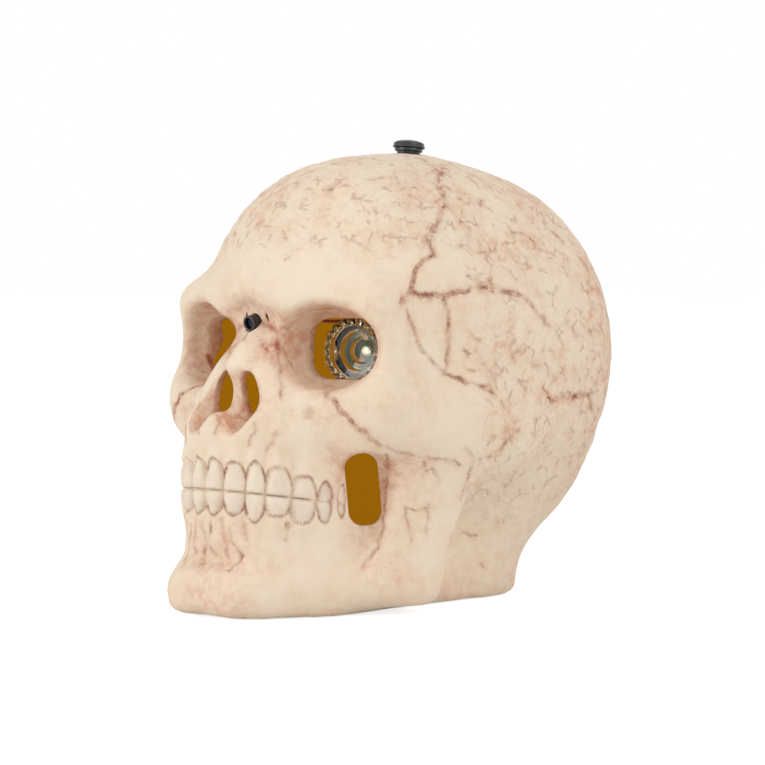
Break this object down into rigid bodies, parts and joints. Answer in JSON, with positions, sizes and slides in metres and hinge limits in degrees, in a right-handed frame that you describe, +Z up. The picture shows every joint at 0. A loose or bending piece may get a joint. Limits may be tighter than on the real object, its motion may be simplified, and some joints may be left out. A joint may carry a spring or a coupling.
{
  "type": "halloween skull decoration",
  "caption": "Hollow moulded skull with a turning light lens behind one eye, a push button on the crown, a sound sensor on the nose bridge and a battery door in its base.",
  "frame": {"origin": "middle of the bounding box on the surface the skull stands on", "axes": "+Z up, -Y the way the face looks, +X the skull's own left"},
  "size_m": [0.1412, 0.203, 0.1832],
  "materials": {
    "bone_plastic": "cream moulded plastic with a pink-brown wash in its creases",
    "black_plastic": "black moulded plastic, satin",
    "grey_plastic": "dark grey moulded plastic",
    "white_plastic": "off-white moulded plastic",
    "clear_plastic": "clear moulded plastic, polished",
    "board_green": "green solder mask",
    "led_amber": "warm tinted resin",
    "cell_jacket": "plain dark sleeve over a metal can",
    "motor_can": "bare metal can",
    "steel": "zinc plated",
    "brass": "bare",
    "wire_red": "dark red insulation",
    "wire_black": "black insulation"
  },
  "bodies": {
    "skull": {"base_cover": "black_plastic", "base_screw_1": "steel", "base_screw_2": "steel", "base_screw_3": "steel", "base_screw_4": "steel", "battery_1": "cell_jacket", "battery_2": "cell_jacket", "battery_3": "cell_jacket", "battery_wire_black": "wire_black", "battery_wire_red": "wire_red", "board_capacitor": "grey_plastic", "board_screw_1": "steel", "board_screw_2": "steel", "bracket_screw_1": "steel", "bracket_screw_2": "steel", "button_spring": "steel", "contact_front_bridge": "steel", "contact_front_single": "steel", "contact_rear_bridge": "steel", "contact_rear_single": "steel", "control_board": "board_green", "control_chip": "black_plastic", "gear_motor": "motor_can", "led_1": "led_amber", "led_2": "led_amber", "led_3": "led_amber", "led_board": "board_green", "motor_wire_black": "wire_black", "motor_wire_red": "wire_red", "projector_bracket": "black_plastic", "sensor_capsule": "grey_plastic", "sensor_nut": "steel", "sensor_tube": "black_plastic", "sensor_wire_black": "wire_black", "sensor_wire_red": "wire_red", "skull_shell": "bone_plastic", "switch_body": "black_plastic", "switch_nut": "steel", "switch_plug": "grey_plastic", "switch_terminal_1": "brass", "switch_terminal_2": "brass", "switch_wire_black": "wire_black", "switch_wire_red": "wire_red", "wire_connector": "white_plastic"},
    "button": {"button_cap": "black_plastic"},
    "lens_rotor": {"lens": "clear_plastic", "lens_spindle": "steel"},
    "door": {"battery_door": "black_plastic", "battery_door_screw": "steel"}
  },
  "joints": [
    {"name": "button_press", "type": "slide", "parent": "skull", "child": "button", "axis": [0, -0.1045, -0.9945], "range_m": [0, 0.0012], "stiffness_N_per_m": 800, "springref_m": -0.001, "deforming": ["button_spring"]},
    {"name": "lens_spin", "type": "hinge", "parent": "skull", "child": "lens_rotor", "pos_m": [0.029, -0.04658, 0.1], "axis": [0.2419, -0.9703, 0], "continuous": true},
    {"name": "door_lift_off", "type": "slide", "parent": "skull", "child": "door", "axis": [0, 0, -1], "range_m": [0, 0.012]}
  ]
}
